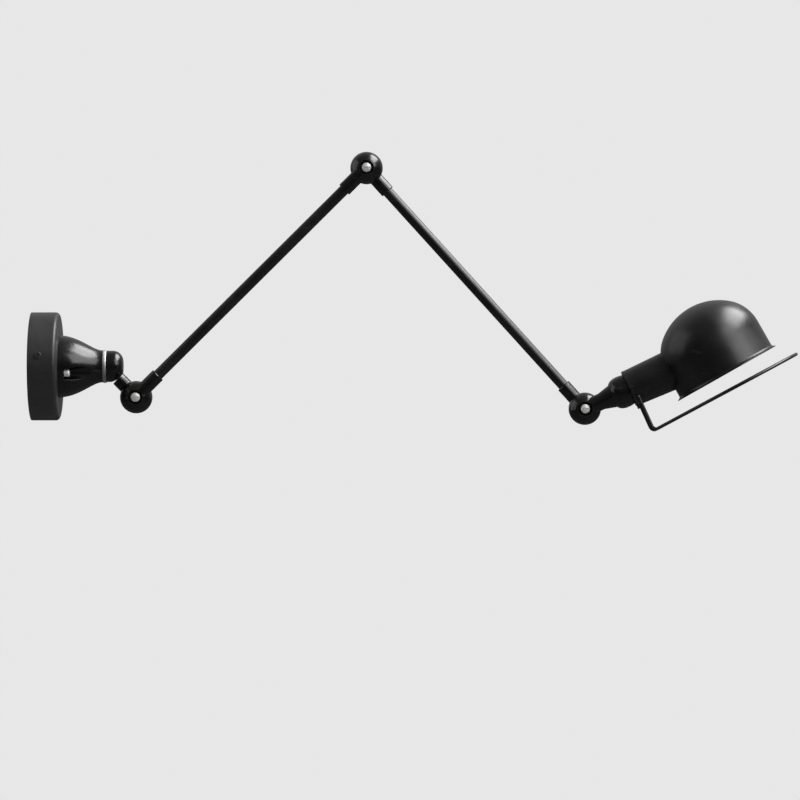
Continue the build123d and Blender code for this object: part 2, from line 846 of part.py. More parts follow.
def shade_outline(inset):
    # right half of the bowl's section, from the skirt's foot over the shoulder to the crown
    wall = shade_radius - inset
    shoulder_bend = shoulder_radius - inset
    inner = shade_radius - shoulder_radius
    top = shade_height - inset
    rise = shade_height - skirt_height
    crown = (rise ** 2 + inner ** 2 - shoulder_radius ** 2) / (2 * (rise - shoulder_radius))
    lean = atan2(inner, skirt_height - (shade_height - crown))
    meet = ((crown - inset) * sin(lean), shade_height - crown + (crown - inset) * cos(lean))
    middle = (inner + shoulder_bend * cos((radians(90) - lean) / 2),
              skirt_height + shoulder_bend * sin((radians(90) - lean) / 2))
    crown_middle = ((crown - inset) * sin(lean / 2), shade_height - crown + (crown - inset) * cos(lean / 2))
    return [Line((wall, rim_flare + shade_wall), (wall, skirt_height)),
            ThreePointArc((wall, skirt_height), middle, meet),
            ThreePointArc(meet, crown_middle, (0, top))]


def shade_body(growth):
    # the bowl as a full solid, used to trim what meets its outside
    foot = rim_flare + shade_wall
    curve = Curve() + shade_outline(-growth)
    closing = Polyline((0, shade_height + growth), (0, foot), (shade_radius + growth, foot))
    section = make_face(curve + closing)
    return revolve(Plane.XZ * section, Axis.Z)


def shade():
    foot = rim_flare + shade_wall
    lip = shade_radius + rim_flare
    inner_wall = shade_radius - shade_wall
    flare_out = JernArc((shade_radius, foot), (0, -1), rim_flare, 90)
    flare_in = JernArc((inner_wall, foot), (0, -1), rim_flare + shade_wall, 90)
    section = Curve() + shade_outline(0) + shade_outline(shade_wall)
    section += [flare_out, flare_in, Line((lip, shade_wall), (lip, 0)),
                Line((0, shade_height), (0, shade_height - shade_wall))]
    bowl = shade_place() * revolve(Plane.XZ * make_face(section), Axis.Z)
    return bowl - ring_x(0, holder_radius + seat_gap, sleeve_back, shade_reach)


def shade_ring():
    # round nut inside the bowl; its back edge bears on the curved wall
    outer = holder_radius + shade_ring_rim
    inner_wall = shade_radius - shade_wall
    seat = shade_reach - sqrt(inner_wall ** 2 - outer ** 2)
    ring = ring_x(holder_radius + seat_gap, outer, seat, seat + shade_ring_width)
    notch = ring_x(0, ring_notch_radius, seat - 1, seat + shade_ring_width + 1)
    for step in range(ring_notch_count):
        ring -= Rot(360 / ring_notch_count * step, 0, 0) * Pos(0, outer + ring_notch_lift, 0) * notch
    return ring


def wire_handle():
    origin = shade_place() * Pos(0, 0, -wire_drop)
    lean = radians(wire_tilt)
    middle = origin.position
    loop = Plane(origin=middle, x_dir=(cos(lean), 0, sin(lean)), z_dir=(-sin(lean), 0, cos(lean)))
    heel_run = (wire_leg_position - middle.X) / cos(lean)
    span = hypot(heel_run, wire_leg_spread)
    touch = atan2(wire_leg_spread, heel_run) - acos(wire_loop_radius / span)
    edges = []
    touches = []
    for side in (1, -1):
        spread = side * wire_leg_spread
        foot = loop.from_local_coords(Vector(heel_run, spread, 0))
        meet = loop.from_local_coords(
            Vector(wire_loop_radius * cos(touch), side * wire_loop_radius * sin(touch), 0))
        tip = Vector(wire_leg_position, side * wire_tip_spread, -wire_top_drop)
        top = Vector(wire_leg_position, spread, -wire_top_drop)
        leg = FilletPolyline(tip, top, foot, meet, radius=[wire_top_turn, wire_heel_turn])
        edges += leg.edges()
        touches.append(meet)
    front = loop.from_local_coords(Vector(wire_loop_radius, 0, 0))
    edges += ThreePointArc(touches[0], front, touches[1]).edges()
    route = Wire(edges)
    start = Plane(origin=route @ 0, z_dir=route % 0)
    return sweep(start * Circle(wire_radius), path=route)


def bulb_cap():
    tail = bulb_tip + bulb_cap_length
    return turned((bulb_tip, 0), (bulb_tip, bulb_contact_radius),
                  (bulb_tip + bulb_contact_height, bulb_cap_radius), (tail, bulb_cap_radius), (tail, 0))


def bulb_outline(inset):
    # narrow neck that opens into the round bulb
    round_radius = bulb_radius - inset
    lean = radians(bulb_neck_lean)
    meet = (bulb_centre - round_radius * cos(lean), round_radius * sin(lean))
    low = (bulb_glass_start, bulb_neck_radius - inset)
    run = (meet[0] - low[0]) / 2
    neck = Bezier(low, (low[0] + run, low[1]), (meet[0] - run * sin(lean), meet[1] - run * cos(lean)), meet)
    tip = (bulb_centre + round_radius, 0)
    ball = ThreePointArc(meet, (bulb_centre, round_radius), tip)
    rest = Polyline(tip, (bulb_glass_start, 0), low)
    return revolve(make_face(neck + ball + rest), Axis.X)


def bulb_glass():
    return bulb_outline(0) - bulb_outline(bulb_glass_wall)


# ---------- pieces by body ----------

def base_pieces():
    return {
        "wall_bracket": wall_bracket(),
        "wall_pan": pan(),
        "pan_side_screws": side_screws(),
        "terminal_block": terminal_block(),
        "terminal_screws": terminal_screws(),
        "earth_screw": earth_screw(),
        "base_cable": base_cable(),
        "bell_housing": bell(),
        "bell_screws": bell_screws(),
        "bell_nuts": bell_nuts(),
        "swivel_ring": swivel_ring(),
        "swivel_stop_pin": stop_pin(),
    }


def swivel_pieces():
    back = back_side(shoulder, stub_angle + 180)
    front = front_side(shoulder, 0)
    return {
        "spindle": spindle(),
        "spindle_washer": spindle_washer(),
        "spindle_nut": spindle_nut(),
        "swivel_cap": swivel_cap(),
        "swivel_cable": swivel_cable(),
        "shoulder_back_half": back * shoulder_back_half(),
        "shoulder_contact_disc": back * insulating_disc(),
        "shoulder_contact_rings": group(*[back * ring for ring in contact_rings()]),
        "shoulder_bolt": front * knuckle_bolt(),
        "shoulder_spring_washer": back * knuckle_washer(),
        "shoulder_nut": back * knuckle_nut(),
    }


def lower_arm_pieces():
    low = front_side(shoulder, lower_arm_angle)
    high = front_side(elbow, lower_arm_angle + 180)
    return {
        "shoulder_front_half": low * arm_front_half(),
        "elbow_front_half": high * arm_front_half(),
        "lower_arm_friction_rings": group(low * friction_ring(), high * friction_ring()),
        "shoulder_brush_disc": low * brush_disc(),
        "elbow_brush_disc": high * brush_disc(),
        "lower_arm_brush_pins": group(*[end * pin for end in (low, high) for pin in brush_pins()]),
        "lower_arm_tube": low * arm_tube(),
        "lower_arm_cable": low * arm_cable(),
    }


def upper_arm_pieces():
    high = back_side(elbow, upper_arm_angle)
    low = back_side(wrist, upper_arm_angle + 180)
    bolts = (front_side(elbow, 0), front_side(wrist, 0))
    return {
        "elbow_back_half": high * arm_back_half(),
        "wrist_back_half": low * arm_back_half(),
        "elbow_contact_disc": high * insulating_disc(),
        "wrist_contact_disc": low * insulating_disc(),
        "elbow_contact_rings": group(*[high * ring for ring in contact_rings()]),
        "wrist_contact_rings": group(*[low * ring for ring in contact_rings()]),
        "upper_arm_bolts": group(*[place * knuckle_bolt() for place in bolts]),
        "upper_arm_spring_washers": group(high * knuckle_washer(), low * knuckle_washer()),
        "upper_arm_nuts": group(high * knuckle_nut(), low * knuckle_nut()),
        "upper_arm_tube": high * arm_tube(),
        "upper_arm_cable": high * arm_cable(),
    }


def neck_pieces():
    ball = front_side(wrist, head_angle)
    axis = ball * Pos(0, 0, arm_offset)
    return {
        "wrist_front_half": ball * neck_half(),
        "wrist_friction_ring": ball * friction_ring(),
        "wrist_brush_disc": ball * brush_disc(),
        "wrist_brush_pins": group(*[ball * pin for pin in brush_pins()]),
        "neck_nipple": axis * nipple(),
        "neck_cap": axis * neck_cap(),
        "neck_lock_nut": axis * lock_nut(),
        "neck_cable": ball * neck_cable(),
    }


def head_pieces():
    made = {
        "holder_sleeve": sleeve(),
        "sleeve_clamp": clamp_ring(),
        "lampholder": lampholder(),
        "lampholder_contacts": lampholder_contacts(),
        "shade": shade(),
        "shade_ring": shade_ring(),
        "wire_handle": wire_handle(),
        "bulb_cap": bulb_cap(),
        "bulb_glass": bulb_glass(),
    }
    return {name: head_place * piece for name, piece in made.items()}


def main():
    os.makedirs("parts", exist_ok=True)
    pieces = {}
    for made in (base_pieces, swivel_pieces, lower_arm_pieces, upper_arm_pieces, neck_pieces, head_pieces):
        pieces.update(made())
    for name, piece in pieces.items():
        export_step(piece, f"parts/{name}.step")
    print(len(pieces), "pieces")


main()
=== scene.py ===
import json
import math

import bmesh
import bpy
from mathutils import Matrix, Vector


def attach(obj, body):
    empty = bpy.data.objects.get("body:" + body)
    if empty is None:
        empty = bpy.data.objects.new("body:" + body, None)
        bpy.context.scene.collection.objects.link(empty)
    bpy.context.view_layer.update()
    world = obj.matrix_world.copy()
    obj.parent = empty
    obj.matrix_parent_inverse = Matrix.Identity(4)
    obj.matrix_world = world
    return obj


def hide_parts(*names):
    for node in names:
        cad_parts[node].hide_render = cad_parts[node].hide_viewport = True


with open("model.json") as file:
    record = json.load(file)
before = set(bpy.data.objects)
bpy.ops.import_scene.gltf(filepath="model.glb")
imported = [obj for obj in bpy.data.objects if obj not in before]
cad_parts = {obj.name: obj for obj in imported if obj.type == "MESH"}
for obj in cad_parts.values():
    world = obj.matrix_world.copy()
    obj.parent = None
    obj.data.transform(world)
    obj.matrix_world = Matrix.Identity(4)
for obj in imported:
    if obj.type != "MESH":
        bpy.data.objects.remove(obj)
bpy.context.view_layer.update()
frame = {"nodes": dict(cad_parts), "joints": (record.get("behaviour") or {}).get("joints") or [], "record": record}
cadNodes = frame["nodes"]
bodies = frame["record"]["behaviour"]["bodies"]
bodyOfNode = {node: body for body, members in bodies.items() for node in members}
slotOfNode = {part["node"]: part["material_slot"] for part in frame["record"]["subparts"]}
joints = {joint["name"]: joint for joint in frame["joints"]}
jointPlace = {name: Vector(joint["pos_m"]) for name, joint in joints.items()}


# shader maths: a Flow is one output socket, and sums on it add Math nodes
class Flow:
    def __init__(self, shade, socket):
        self.shade = shade
        self.socket = socket

    def maths(self, operation, first, second):
        return self.shade.flow("ShaderNodeMath", {"operation": operation}, {0: first, 1: second})

    def __add__(self, other):
        return self.maths("ADD", self, other)

    def __radd__(self, other):
        return self.maths("ADD", other, self)

    def __sub__(self, other):
        return self.maths("SUBTRACT", self, other)

    def __rsub__(self, other):
        return self.maths("SUBTRACT", other, self)

    def __mul__(self, other):
        return self.maths("MULTIPLY", self, other)

    def __rmul__(self, other):
        return self.maths("MULTIPLY", other, self)

    def over(self, edge):
        return self.maths("GREATER_THAN", self, edge)

    def held(self):
        return self.shade.flow("ShaderNodeClamp", {}, {"Value": self})

    def ramp(self, low, high, first=0.0, last=1.0):
        ends = {"Value": self, "From Min": low, "From Max": high, "To Min": first, "To Max": last}
        return self.shade.flow("ShaderNodeMapRange", {"interpolation_type": "SMOOTHSTEP"}, ends)


# one node tree, where every node is made from its type, its settings and its inputs
class Wiring:
    def __init__(self, tree):
        self.tree = tree
        tree.nodes.clear()

    def node(self, kind, settings, inputs):
        made = self.tree.nodes.new(kind)
        for key, value in settings.items():
            setattr(made, key, value)
        for key, value in inputs.items():
            if isinstance(value, Flow):
                self.tree.links.new(value.socket, made.inputs[key])
            else:
                made.inputs[key].default_value = value
        return made

    def flow(self, kind, settings, inputs, output=0):
        return Flow(self, self.node(kind, settings, inputs).outputs[output])


class Shade(Wiring):
    def place(self, stretch=None):
        coordinates = self.flow("ShaderNodeTexCoord", {}, {}, "Object")
        if stretch is None:
            return coordinates
        return self.flow("ShaderNodeMapping", {}, {"Vector": coordinates, "Scale": stretch})

    def cloud(self, scale, detail=3.0, warp=0.0, stretch=None):
        values = {"Vector": self.place(stretch), "Scale": scale, "Detail": detail,
                  "Distortion": warp}
        return self.flow("ShaderNodeTexNoise", {}, values)

    def cells(self, scale):
        return self.flow("ShaderNodeTexVoronoi", {}, {"Vector": self.place(), "Scale": scale})

    def blend(self, share, first, second):
        return self.flow("ShaderNodeMix", {"data_type": "RGBA"}, {0: share, 6: first, 7: second}, 2)

    def edges(self, radius):
        # how far the surface turns within the radius: 0 on a flat, towards 1 on an edge
        soft = self.flow("ShaderNodeBevel", {"samples": 4}, {"Radius": radius})
        true = self.flow("ShaderNodeNewGeometry", {}, {}, "Normal")
        both = {0: soft, 1: true}
        return 1.0 - self.flow("ShaderNodeVectorMath", {"operation": "DOT_PRODUCT"}, both, "Value")

    def bump(self, height, distance, **under):
        # under is an earlier bump, given as Normal
        return self.flow("ShaderNodeBump", {}, {"Height": height, "Distance": distance, **under})

    def seen(self, mirrored, bounced):
        # 1 for what the camera sees, straight or through glass, with one share of it for gloss
        # and metal and one for soft light
        path = self.node("ShaderNodeLightPath", {}, {})
        rays = ("Is Camera Ray", "Is Glossy Ray", "Is Transmission Ray", "Is Diffuse Ray")
        camera, gloss, glass, soft = (Flow(self, path.outputs[ray]) for ray in rays)
        return (camera + glass + gloss * mirrored + soft * bounced).held()


def finishOf(name, build, settings):
    # a material whose surface is one Principled shader with the sockets that build gives
    material = bpy.data.materials.new(name)
    material.use_nodes = True
    shade = Shade(material.node_tree)
    surface = shade.flow("ShaderNodeBsdfPrincipled", {}, build(shade, settings))
    shade.node("ShaderNodeOutputMaterial", {}, {"Surface": surface})
    return material


# black stove enamel: dusty smudges, specks, rubbed streaks, a fine orange peel, and chipped edges whose mask also
# paints a lighter highlight along every edge
enamel = {
    "smudge": {"cloud": {"scale": 26.0, "detail": 5.0, "warp": 0.6},
               "dust": (0.35, 0.75, 0.25, 1.0), "gloss": (0.3, 0.7),
               "glossier": 0.04, "duller": 0.06},
    "speck": {"scale": 520.0, "size": (0.10, 0.04), "patch": {"scale": 60.0}, "patchFrom": 0.56,
              "share": 0.5, "duller": 0.2},
    # chipped edges, partly real wear and partly a painted highlight along outer and inner edges alike
    "chipAndEdgeHighlight": {"radius": 0.0008, "gain": 2.6, "cloud": {"scale": 330.0, "detail": 4.0},
             "size": (0.42, 0.62), "share": 0.75},
    "rub": {"cloud": {"scale": 70.0, "detail": 6.0, "warp": 0.9, "stretch": (1, 1, 3.5)},
            "size": (0.60, 0.74, 0.0, 0.4), "duller": 0.2},
    "peel": {"cloud": {"scale": 620.0, "detail": 2.0}, "height": 0.00004},
    "grain": {"scale": 240.0, "detail": 5.0},
    # the lighter tone of specks and chips, which also serves as the painted edge highlight
    "wornAndHighlightTone": (0.075, 0.072, 0.068, 1),
    "rubbed": (0.034, 0.033, 0.032, 1),
    "reflectance": 0.66,
}
coats = {
    "sheet": {"roughness": 0.33, "dust": 0.45, "grain": 0.0,
              "deep": (0.0055, 0.0055, 0.0060, 1), "dusty": (0.0160, 0.0156, 0.0152, 1)},
    "cast": {"roughness": 0.19, "dust": 0.35, "grain": 0.00008,
             "deep": (0.0048, 0.0048, 0.0052, 1), "dusty": (0.0140, 0.0137, 0.0133, 1)},
    "pan": {"roughness": 0.40, "dust": 1.0, "grain": 0.0,
            "deep": (0.0185, 0.0185, 0.0190, 1), "dusty": (0.0330, 0.0325, 0.0319, 1)},
}


def blackEnamel(shade, coat):
    smudge, speck, chipAndEdgeHighlight = enamel["smudge"], enamel["speck"], enamel["chipAndEdgeHighlight"]
    rub, peel = enamel["rub"], enamel["peel"]
    smudges = shade.cloud(**smudge["cloud"])
    dust = (smudges.ramp(*smudge["dust"]) * coat["dust"]).held()
    specks = shade.cells(speck["scale"]).ramp(*speck["size"])
    specks = specks * shade.cloud(**speck["patch"]).over(speck["patchFrom"])
    # chips on the edges; the edge mask lightens every edge, outer or inner, so it is also a painted edge highlight
    chipsAndEdgeHighlights = shade.cloud(**chipAndEdgeHighlight["cloud"]).ramp(*chipAndEdgeHighlight["size"])
    chipsAndEdgeHighlights = (shade.edges(chipAndEdgeHighlight["radius"]) * chipAndEdgeHighlight["gain"] * chipsAndEdgeHighlights).held()
    rubs = shade.cloud(**rub["cloud"]).ramp(*rub["size"])
    colour = shade.blend(dust, coat["deep"], coat["dusty"])
    colour = shade.blend(rubs, colour, enamel["rubbed"])
    # specks and chipped edges take the lighter tone: real wear, plus a painted highlight along the edges
    bareAndHighlit = (specks * speck["share"] + chipsAndEdgeHighlights * chipAndEdgeHighlight["share"]).held()
    colour = shade.blend(bareAndHighlit, colour, enamel["wornAndHighlightTone"])
    gloss = (coat["roughness"] - smudge["glossier"], coat["roughness"] + smudge["duller"])
    roughness = smudges.ramp(*smudge["gloss"], *gloss)
    roughness = roughness + specks * speck["duller"] + rubs * rub["duller"]
    height = shade.bump(shade.cloud(**peel["cloud"]), peel["height"])
    if coat["grain"]:
        height = shade.bump(shade.cloud(**enamel["grain"]), coat["grain"], Normal=height)
    return {"Base Color": colour, "Roughness": roughness, "Normal": height,
            "Specular IOR Level": enamel["reflectance"]}


# zinc plate with its spangle and a grey bloom
zincPlate = {
    "tones": ((0.52, 0.53, 0.54, 1), (0.34, 0.35, 0.37, 1)),
    "bloom": {"scale": 70.0, "detail": 5.0},
    "fade": (0.4, 0.7),
    "spangle": 190.0,
    "roughness": {"least": 0.2, "bloom": 0.3, "spangle": 0.12},
    "relief": {"scale": 800.0},
    "height": 0.00003,
}


def zincSteel(shade, plate):
    spangle = shade.cells(plate["spangle"])
    bloom = shade.cloud(**plate["bloom"])
    rough = plate["roughness"]
    roughness = (bloom * rough["bloom"] + spangle * rough["spangle"] + rough["least"]).held()
    height = shade.bump(shade.cloud(**plate["relief"]), plate["height"])
    return {"Base Color": shade.blend(bloom.ramp(*plate["fade"]), *plate["tones"]), "Metallic": 1.0,
            "Roughness": roughness, "Normal": height}


# finishes that are one cloud between two tones: fade spreads the tones and gloss the roughness, and
# relief is a finer cloud for the bump, or the same cloud where it isn't given
nickel = {
    "cloud": {"scale": 180.0, "detail": 4.0}, "fade": (0.46, 0.74, 0.0, 0.75),
    "tones": ((0.90, 0.89, 0.86, 1), (0.62, 0.61, 0.58, 1)), "gloss": (0.3, 0.8, 0.50, 0.62),
    "relief": {"scale": 90.0, "detail": 2.0, "stretch": (1, 1, 34)}, "height": 0.00001,
}
mottles = {
    "bright_nickel": {"name": "brightNickel", **nickel, "sockets": {"Metallic": 1.0}},
    "dull_nickel": {"name": "dullNickel", **nickel, "sockets": {"Metallic": 0.55}},
    "brass": {
        "name": "plainBrass", "cloud": {"scale": 210.0, "detail": 5.0}, "fade": (0.45, 0.75),
        "tones": ((0.68, 0.47, 0.20, 1), (0.32, 0.20, 0.09, 1)), "gloss": (0.3, 0.8, 0.24, 0.46),
        "relief": {"scale": 900.0}, "height": 0.00002, "sockets": {"Metallic": 1.0}},
    "aluminium_cap": {
        "name": "lampCap", "cloud": {"scale": 260.0, "detail": 4.0}, "fade": (0.4, 0.7),
        "tones": ((0.78, 0.78, 0.79, 1), (0.52, 0.52, 0.53, 1)), "gloss": (0.3, 0.7, 0.26, 0.42),
        "height": 0.00002, "sockets": {"Metallic": 1.0}},
    "reflector": {
        "name": "whiteEnamel", "cloud": {"scale": 22.0, "detail": 5.0, "warp": 0.8},
        "fade": (0.45, 0.8, 0.0, 0.6), "tones": ((0.70, 0.69, 0.65, 1), (0.56, 0.53, 0.46, 1)),
        "gloss": (0.3, 0.7, 0.30, 0.42), "relief": {"scale": 500.0}, "height": 0.00004},
    "opal_glass": {
        "name": "opalGlass", "cloud": {"scale": 40.0}, "fade": (0.3, 0.8),
        "tones": ((0.74, 0.74, 0.72, 1), (0.67, 0.67, 0.64, 1)), "gloss": (0.2, 0.8, 0.12, 0.22),
        "relief": {"scale": 300.0}, "height": 0.00001,
        "sockets": {"Subsurface Weight": 0.25, "Subsurface Scale": 0.004,
                    "Subsurface Radius": (1, 1, 1)}},
    "bakelite": {
        "name": "bakelite", "cloud": {"scale": 120.0, "detail": 4.0, "warp": 1.5},
        "fade": (0.4, 0.7), "tones": ((0.016, 0.013, 0.011, 1), (0.034, 0.024, 0.018, 1)),
        "gloss": (0.3, 0.7, 0.24, 0.34), "relief": {"scale": 420.0}, "height": 0.00003},
    "phenolic": {
        "name": "phenolicBoard", "cloud": {"scale": 900.0, "stretch": (1, 0.08, 1)},
        "tones": ((0.20, 0.10, 0.045, 1), (0.10, 0.05, 0.025, 1)),
        "gloss": (0.3, 0.7, 0.40, 0.55), "height": 0.00003},
    "fibre": {
        "name": "greyFibre", "cloud": {"scale": 1400.0, "detail": 4.0},
        "tones": ((0.055, 0.048, 0.042, 1), (0.030, 0.027, 0.024, 1)),
        "gloss": (0.3, 0.7, 0.60, 0.75), "height": 0.00004},
    "cable_jacket": {
        "name": "cableJacket", "cloud": {"scale": 300.0, "detail": 4.0}, "fade": (0.45, 0.75),
        "tones": ((0.016, 0.016, 0.017, 1), (0.05, 0.05, 0.052, 1)),
        "gloss": (0.3, 0.7, 0.48, 0.62), "height": 0.00003},
    "terminal_white": {
        "name": "whiteMoulding", "cloud": {"scale": 80.0}, "fade": (0.4, 0.7),
        "tones": ((0.72, 0.71, 0.66, 1), (0.64, 0.62, 0.55, 1)), "gloss": (0.3, 0.7, 0.36, 0.46),
        "relief": {"scale": 600.0}, "height": 0.00003},
}


def mottled(shade, mottle):
    cloud = shade.cloud(**mottle["cloud"])
    share = cloud.ramp(*mottle["fade"]) if "fade" in mottle else cloud
    relief = shade.cloud(**mottle["relief"]) if "relief" in mottle else cloud
    return {"Base Color": shade.blend(share, *mottle["tones"]),
            "Roughness": cloud.ramp(*mottle["gloss"]),
            "Normal": shade.bump(relief, mottle["height"]), **mottle.get("sockets", {})}


finishes = {
    "black_paint": finishOf("blackEnamel", blackEnamel, coats["sheet"]),
    "cast_paint": finishOf("castEnamel", blackEnamel, coats["cast"]),
    "pan_paint": finishOf("panEnamel", blackEnamel, coats["pan"]),
    "zinc_steel": finishOf("zincSteel", zincSteel, zincPlate),
}
for finish, mottle in mottles.items():
    finishes[finish] = finishOf(mottle["name"], mottled, mottle)
print("finishes:", len(finishes))


# nodes whose finish is not just their slot's
nodesOfFinish = {
    "pan_paint": ("wall_pan", "pan_side_screws"),
    "cast_paint": ("bell_housing", "swivel_cap", "neck_cap", "shoulder_back_half",
                   "shoulder_front_half", "elbow_back_half", "elbow_front_half", "wrist_back_half",
                   "wrist_front_half"),
    "dull_nickel": ("shoulder_bolt", "upper_arm_bolts", "bell_screws"),
}
finishOfNode = {node: finish for finish, nodes in nodesOfFinish.items() for node in nodes}
smoothing = {"merge": 0.000002, "crease": 30.0}


def smoothCopy(node):
    # a node's own shape, merged and smooth, with its sharp edges kept
    mesh = cadNodes[node].data.copy()
    shape = bmesh.new()
    shape.from_mesh(mesh)
    bmesh.ops.remove_doubles(shape, verts=shape.verts, dist=smoothing["merge"])
    shape.to_mesh(mesh)
    shape.free()
    if "custom_normal" in mesh.attributes:
        mesh.attributes.remove(mesh.attributes["custom_normal"])
    mesh.shade_smooth()
    mesh.set_sharp_from_angle(angle=math.radians(smoothing["crease"]))
    mesh.materials.clear()
    piece = bpy.data.objects.new(node + "_finished", mesh)
    bpy.context.scene.collection.objects.link(piece)
    return piece


# the lamp head's own frame, with its X along the neck towards the shade
head = {"sideways": -0.0075, "roll": -2.0}
headAxis = Vector(joints["head_roll"]["axis"]).normalized()
headSide = Vector((0, 1, 0))
headUp = headAxis.cross(headSide)
headFrame = Matrix((headAxis, headSide, headUp)).transposed().to_4x4()
headFrame = Matrix.Translation(jointPlace["wrist"] + Vector((0, head["sideways"], 0))) @ headFrame
headFrame = headFrame @ Matrix.Rotation(math.radians(head["roll"]), 4, "X")

# the bowl's frame has its origin in the middle of the mouth and its Z into the bowl
lining = {"reach": 0.1324, "drop": 0.0241, "tilt": 5.3, "rim": 0.0045, "middle": 0.028}
bowlFrame = headFrame @ Matrix.Translation((lining["reach"], 0, -lining["drop"]))
bowlFrame = bowlFrame @ Matrix.Rotation(math.radians(-lining["tilt"]), 4, "Y")


def lineShade(piece):
    # above the rim, the faces that look at the middle of the bowl are the white inside
    mesh = piece.data
    mesh.materials.append(finishes["reflector"])
    middle = bowlFrame @ Vector((0, 0, lining["middle"]))
    toBowl = bowlFrame.inverted()
    for face in mesh.polygons:
        inward = face.normal.dot(middle - face.center) > 0
        face.material_index = int(inward and (toBowl @ face.center).z > lining["rim"])


# the base cable's three cores: the jacket starts where they meet, and each point of the route
# has its x and y, a share of the terminal's height and a share of the core's place in the jacket
coreRun = {
    "radius": 0.00115,
    "jacketFrom": 0.0222,
    "cutWithin": 0.000001,
    "steps": 40,
    "sides": 12,
    "route": ((0.0148, 0.0160, 1.0, 0.0), (0.0183, 0.0162, 0.97, 0.0), (0.0210, 0.0156, 0.55, 0.4),
              (0.0228, 0.0128, 0.0, 1.0), (0.0250, 0.0076, 0.0, 0.9)),
}


def stripJacket(piece):
    shape = bmesh.new()
    shape.from_mesh(piece.data)
    whole = shape.verts[:] + shape.edges[:] + shape.faces[:]
    cut = {"plane_co": (coreRun["jacketFrom"], 0, 0), "plane_no": (1, 0, 0), "clear_inner": True}
    bmesh.ops.bisect_plane(shape, geom=whole, dist=coreRun["cutWithin"], **cut)
    bmesh.ops.holes_fill(shape, edges=[edge for edge in shape.edges if edge.is_boundary])
    bmesh.ops.recalc_face_normals(shape, faces=shape.faces)
    shape.to_mesh(piece.data)
    shape.free()


for node in sorted(cadNodes):
    slot = slotOfNode[node]
    piece = smoothCopy(node)
    if node == "base_cable":
        stripJacket(piece)
    piece.data.materials.append(finishes[finishOfNode.get(node, slot)])
    if node == "shade":
        lineShade(piece)
    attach(piece, bodyOfNode[node])
    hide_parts(node)
print("pieces finished")


def treeOf(name, sizes, build):
    # a geometry tree that takes its sizes by name and ends as one plain mesh with its finish
    tree = bpy.data.node_groups.new(name, "GeometryNodeTree")
    wiring = Wiring(tree)
    kinds = {"Geometry": "NodeSocketGeometry", **dict.fromkeys(sizes, "NodeSocketFloat"),
             "Finish": "NodeSocketMaterial"}
    for size, kind in kinds.items():
        tree.interface.new_socket(size, in_out="INPUT", socket_type=kind)
    tree.interface.new_socket("Geometry", in_out="OUTPUT", socket_type="NodeSocketGeometry")
    entry = wiring.node("NodeGroupInput", {}, {})
    given = {size: Flow(wiring, entry.outputs[size]) for size in kinds}
    whole = wiring.flow("GeometryNodeRealizeInstances", {}, {"Geometry": build(wiring, given)})
    painted = {"Geometry": whole, "Material": given["Finish"]}
    painted = wiring.flow("GeometryNodeSetMaterial", {}, painted)
    wiring.node("NodeGroupOutput", {}, {"Geometry": painted})
    return tree


def sweep(wiring, curve, sides, radius):
    section = {"Resolution": sides, "Radius": radius}
    section = wiring.flow("GeometryNodeCurvePrimitiveCircle", {}, section)
    swept = {"Curve": curve, "Profile Curve": section, "Fill Caps": True}
    swept = wiring.flow("GeometryNodeCurveToMesh", {}, swept)
    return wiring.flow("GeometryNodeSetShadeSmooth", {}, {"Geometry": swept})


def grownMesh(name, tree, values, line):
    # line is the list of points that the tree is given as its geometry
    start = bpy.data.meshes.new(name + "Line")
    start.from_pydata(line, [(step, step + 1) for step in range(len(line) - 1)], [])
    grower = bpy.data.objects.new(name + "Grower", start)
    bpy.context.scene.collection.objects.link(grower)
    growth = grower.modifiers.new("growth", "NODES")
    growth.node_group = tree
    for socket in tree.interface.items_tree:
        if socket.in_out == "INPUT" and socket.name in values:
            growth[socket.identifier] = values[socket.name]
    bpy.context.view_layer.update()
    grown = grower.evaluated_get(bpy.context.evaluated_depsgraph_get())
    made = bpy.data.meshes.new_from_object(grown)
    grower.modifiers.remove(growth)
    bpy.data.objects.remove(grower)
    return made


def settle(name, mesh, body):
    piece = bpy.data.objects.new(name, mesh)
    bpy.context.scene.collection.objects.link(piece)
    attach(piece, body)


# screw threads: a rib that winds round an axis and fades out at both ends
threads = {
    "stubThread": {
        "body": "wall_swivel", "slot": "black_paint", "finish": "cast_paint", "from": 0.0195,
        "sizes": {"Radius": 0.0067, "Rib": 0.00032, "Turns": 5.0, "Length": 0.0070}},
    "holderThread": {
        "body": "lamp_head", "slot": "bakelite", "finish": "bakelite", "from": 0.0926,
        "sizes": {"Radius": 0.0134, "Rib": 0.00045, "Turns": 1.6, "Length": 0.0026}},
}
threadShape = {"stepsInTurn": 40, "sides": 6, "fade": 0.12, "tip": 0.05}
stub = {"reach": 0.0687, "slope": 45.0}


def threadRib(wiring, given):
    turns = {"Resolution": threadShape["stepsInTurn"], "Rotations": given["Turns"],
             "Start Radius": given["Radius"], "End Radius": given["Radius"],
             "Height": given["Length"]}
    spiral = wiring.flow("GeometryNodeCurveSpiral", {}, turns)
    along = wiring.flow("GeometryNodeSplineParameter", {}, {}, "Factor")
    fade, tip = threadShape["fade"], threadShape["tip"]
    thickness = along.ramp(0.0, fade, tip, 1.0) * along.ramp(1.0, 1.0 - fade, tip, 1.0)
    faded = wiring.flow("GeometryNodeSetCurveRadius", {}, {"Curve": spiral, "Radius": thickness})
    return sweep(wiring, faded, threadShape["sides"], given["Rib"])


